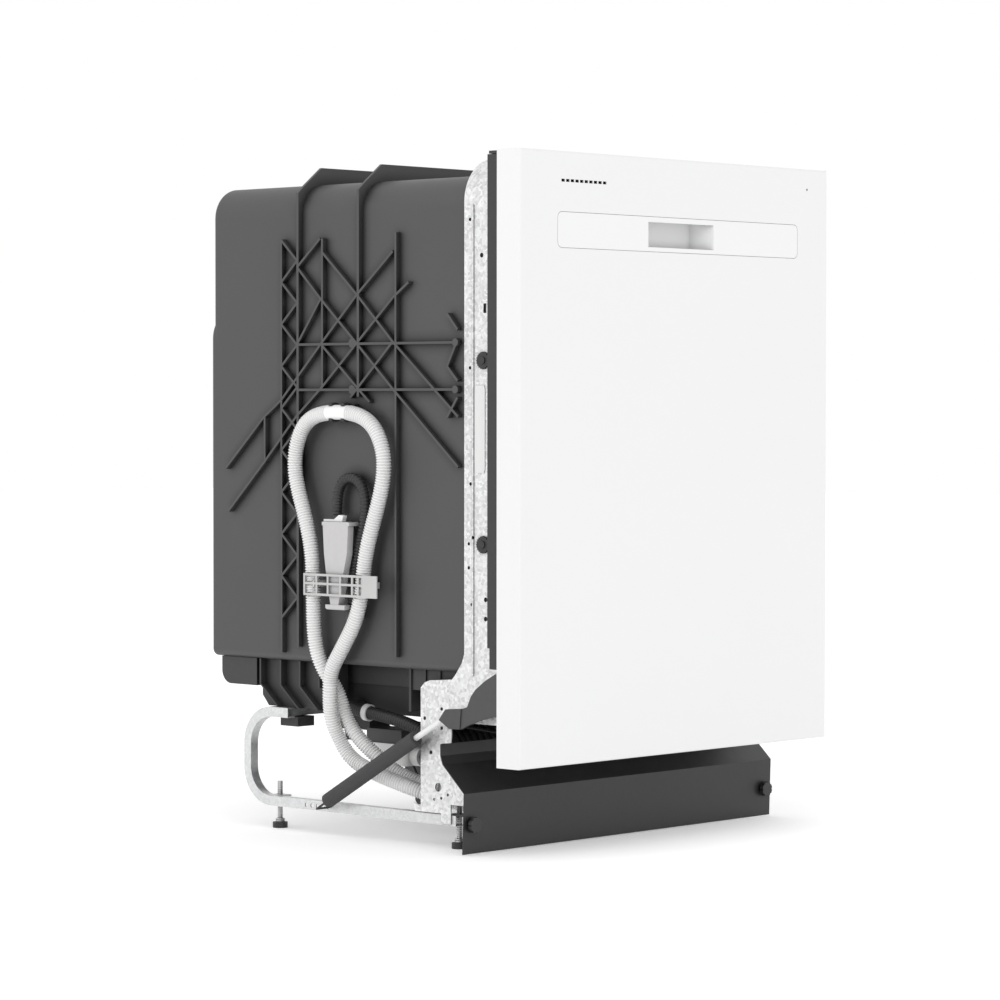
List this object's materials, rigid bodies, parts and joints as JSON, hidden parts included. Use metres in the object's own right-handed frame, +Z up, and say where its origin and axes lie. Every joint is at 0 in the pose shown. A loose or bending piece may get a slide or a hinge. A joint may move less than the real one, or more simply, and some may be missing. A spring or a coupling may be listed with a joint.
{
  "type": "built-in dishwasher",
  "caption": "Built-in dishwasher: flat white door with a pocket grip, ribbed dark plastic tub, galvanised arch and rails, looped drain hose on the side and a black kick plate.",
  "frame": {"origin": "on the floor, midway across the width and midway between the door's face and the back of the tub", "axes": "+Z up, the door faces -Y, +X is to the right seen from the front"},
  "size_m": [0.606, 0.594, 0.876],
  "materials": {
    "tub_plastic": "moulded, dark grey",
    "galvanised": "galvanised, spangled",
    "white_paint": "satin white",
    "white_plastic": "satin white",
    "black_plastic": "black",
    "kick_black": "black powder coat",
    "dark_grey_plastic": "dark grey",
    "grey_plastic": "light grey",
    "hose_white": "corrugated, off-white",
    "hose_black": "corrugated, black",
    "seal_rubber": "soft",
    "sleeve_foam": "soft dark grey",
    "rack_grey": "nylon coated wire",
    "pump_white": "white",
    "stainless": "bright",
    "bitumen": "matt damping sheet",
    "lamp_lens": "smoked lens",
    "wire_black": "sleeved cable"
  },
  "bodies": {
    "cabinet": {"tub_shell": "tub_plastic", "tub_supports": "tub_plastic", "tub_gasket": "seal_rubber", "front_arch": "galvanised", "clip_nuts": "black_plastic", "base_brackets": "galvanised", "base_frame": "galvanised", "toe_kick": "kick_black", "kick_knobs": "black_plastic", "strike_plate": "stainless", "sump": "tub_plastic", "heating_element": "stainless", "circulation_pump": "dark_grey_plastic", "drain_pump": "pump_white", "inlet_valve": "black_plastic", "junction_box": "galvanised", "wiring": "wire_black", "drain_hose": "hose_white", "drain_hose_end": "seal_rubber", "hose_top_clip": "tub_plastic", "hose_lattice_clip": "grey_plastic", "inlet_funnel": "grey_plastic", "funnel_lever": "white_plastic", "fill_hose": "hose_black", "pump_hose": "hose_black", "hose_clamp": "white_plastic", "track_rollers": "white_plastic"},
    "door": {"door_panel": "white_paint", "door_pad": "bitumen", "door_liner": "black_plastic", "handle_insert": "white_plastic", "vent_grille": "black_plastic", "status_lamp": "lamp_lens", "control_console": "black_plastic", "door_latch": "dark_grey_plastic", "dispenser_body": "grey_plastic", "hinge_arms": "dark_grey_plastic"},
    "foot_front_left": {"foot_front_left": "black_plastic"},
    "foot_rear_left": {"foot_rear_left": "black_plastic"},
    "foot_front_right": {"foot_front_right": "black_plastic"},
    "foot_rear_right": {"foot_rear_right": "black_plastic"},
    "sleeve_left": {"spring_sleeve_left": "sleeve_foam"},
    "sleeve_right": {"spring_sleeve_right": "sleeve_foam"},
    "link_left": {"spring_link_left": "white_plastic"},
    "link_right": {"spring_link_right": "white_plastic"},
    "button_1": {"button_1": "dark_grey_plastic"},
    "button_2": {"button_2": "dark_grey_plastic"},
    "button_3": {"button_3": "dark_grey_plastic"},
    "button_4": {"button_4": "dark_grey_plastic"},
    "lid": {"dispenser_lid": "grey_plastic"},
    "cap": {"rinse_cap": "dark_grey_plastic"},
    "filter": {"filter": "grey_plastic"},
    "float": {"float_dome": "grey_plastic"},
    "lower_arm": {"lower_spray_arm": "grey_plastic"},
    "upper_arm": {"upper_spray_arm": "grey_plastic"},
    "tracks": {"upper_tracks": "stainless"},
    "upper_rack": {"upper_rack": "rack_grey"},
    "lower_rack": {"lower_rack": "rack_grey", "lower_wheels": "grey_plastic"},
    "basket": {"cutlery_basket": "grey_plastic"}
  },
  "joints": [
    {"name": "door_hinge", "type": "hinge", "parent": "cabinet", "child": "door", "pos_m": [0, -0.252, 0.195], "axis": [1, 0, 0], "range_deg": [0, 90], "stiffness_Nm_per_rad": 12},
    {"name": "upper_track_slide", "type": "slide", "parent": "cabinet", "child": "tracks", "axis": [0, -1, 0], "range_m": [0, 0.252]},
    {"name": "upper_rack_slide", "type": "slide", "parent": "tracks", "child": "upper_rack", "axis": [0, -1, 0], "range_m": [0, 0.252]},
    {"name": "lower_rack_slide", "type": "slide", "parent": "cabinet", "child": "lower_rack", "axis": [0, -1, 0], "range_m": [0, 0.134]},
    {"name": "spring_swing_left", "type": "hinge", "parent": "cabinet", "child": "sleeve_left", "pos_m": [-0.292, 0.0733, 0.037], "axis": [-1, 0, 0], "range_deg": [0, 8.95]},
    {"name": "spring_link_slide_left", "type": "slide", "parent": "sleeve_left", "child": "link_left", "axis": [0, -0.8672, 0.498], "range_m": [0, 0.1141]},
    {"name": "spring_swing_right", "type": "hinge", "parent": "cabinet", "child": "sleeve_right", "pos_m": [0.292, 0.0733, 0.037], "axis": [-1, 0, 0], "range_deg": [0, 8.95]},
    {"name": "spring_link_slide_right", "type": "slide", "parent": "sleeve_right", "child": "link_right", "axis": [0, -0.8672, 0.498], "range_m": [0, 0.1141]},
    {"name": "button_1_press", "type": "slide", "parent": "door", "child": "button_1", "axis": [0, 0, -1], "range_m": [0, 0.0015], "stiffness_N_per_m": 500, "springref_m": -0.001},
    {"name": "button_2_press", "type": "slide", "parent": "door", "child": "button_2", "axis": [0, 0, -1], "range_m": [0, 0.0015], "stiffness_N_per_m": 500, "springref_m": -0.001},
    {"name": "button_3_press", "type": "slide", "parent": "door", "child": "button_3", "axis": [0, 0, -1], "range_m": [0, 0.0015], "stiffness_N_per_m": 500, "springref_m": -0.001},
    {"name": "button_4_press", "type": "slide", "parent": "door", "child": "button_4", "axis": [0, 0, -1], "range_m": [0, 0.0015], "stiffness_N_per_m": 500, "springref_m": -0.001},
    {"name": "dispenser_lid_slide", "type": "slide", "parent": "door", "child": "lid", "axis": [-1, 0, 0], "range_m": [0, 0.05]},
    {"name": "rinse_cap_twist", "type": "hinge", "parent": "door", "child": "cap", "pos_m": [0.052, -0.217, 0.54], "axis": [0, 1, 0], "range_deg": [0, 90]},
    {"name": "filter_twist", "type": "hinge", "parent": "cabinet", "child": "filter", "pos_m": [0, 0.095, 0.18], "axis": [0, 0, 1], "range_deg": [0, 60]},
    {"name": "float_rise", "type": "slide", "parent": "cabinet", "child": "float", "axis": [0, 0, 1], "range_m": [0, 0.006]},
    {"name": "lower_arm_spin", "type": "hinge", "parent": "cabinet", "child": "lower_arm", "pos_m": [0, 0.013, 0.237], "axis": [0, 0, 1], "continuous": true},
    {"name": "upper_arm_spin", "type": "hinge", "parent": "upper_rack", "child": "upper_arm", "pos_m": [0, 0.013, 0.552], "axis": [0, 0, 1], "continuous": true},
    {"name": "basket_lift", "type": "slide", "parent": "lower_rack", "child": "basket", "axis": [0, 0, 1], "range_m": [0, 0.12]},
    {"name": "foot_front_left_level", "type": "slide", "parent": "cabinet", "child": "foot_front_left", "axis": [0, 0, -1], "range_m": [0, 0.02]},
    {"name": "foot_front_right_level", "type": "slide", "parent": "cabinet", "child": "foot_front_right", "axis": [0, 0, -1], "range_m": [0, 0.02]},
    {"name": "foot_rear_left_level", "type": "slide", "parent": "cabinet", "child": "foot_rear_left", "axis": [0, 0, -1], "range_m": [0, 0.02]},
    {"name": "foot_rear_right_level", "type": "slide", "parent": "cabinet", "child": "foot_rear_right", "axis": [0, 0, -1], "range_m": [0, 0.02]}
  ],
  "couplings": [
    {"joint": "upper_track_slide", "follows": "door_hinge", "m_per_rad": 0.16},
    {"joint": "upper_rack_slide", "follows": "door_hinge", "m_per_rad": 0.16},
    {"joint": "lower_rack_slide", "follows": "door_hinge", "m_per_rad": 0.085},
    {"joint": "spring_swing_left", "follows": "door_hinge", "ratio": 0.09611},
    {"joint": "spring_link_slide_left", "follows": "door_hinge", "m_per_rad": 0.072},
    {"joint": "spring_swing_right", "follows": "door_hinge", "ratio": 0.09611},
    {"joint": "spring_link_slide_right", "follows": "door_hinge", "m_per_rad": 0.072}
  ]
}
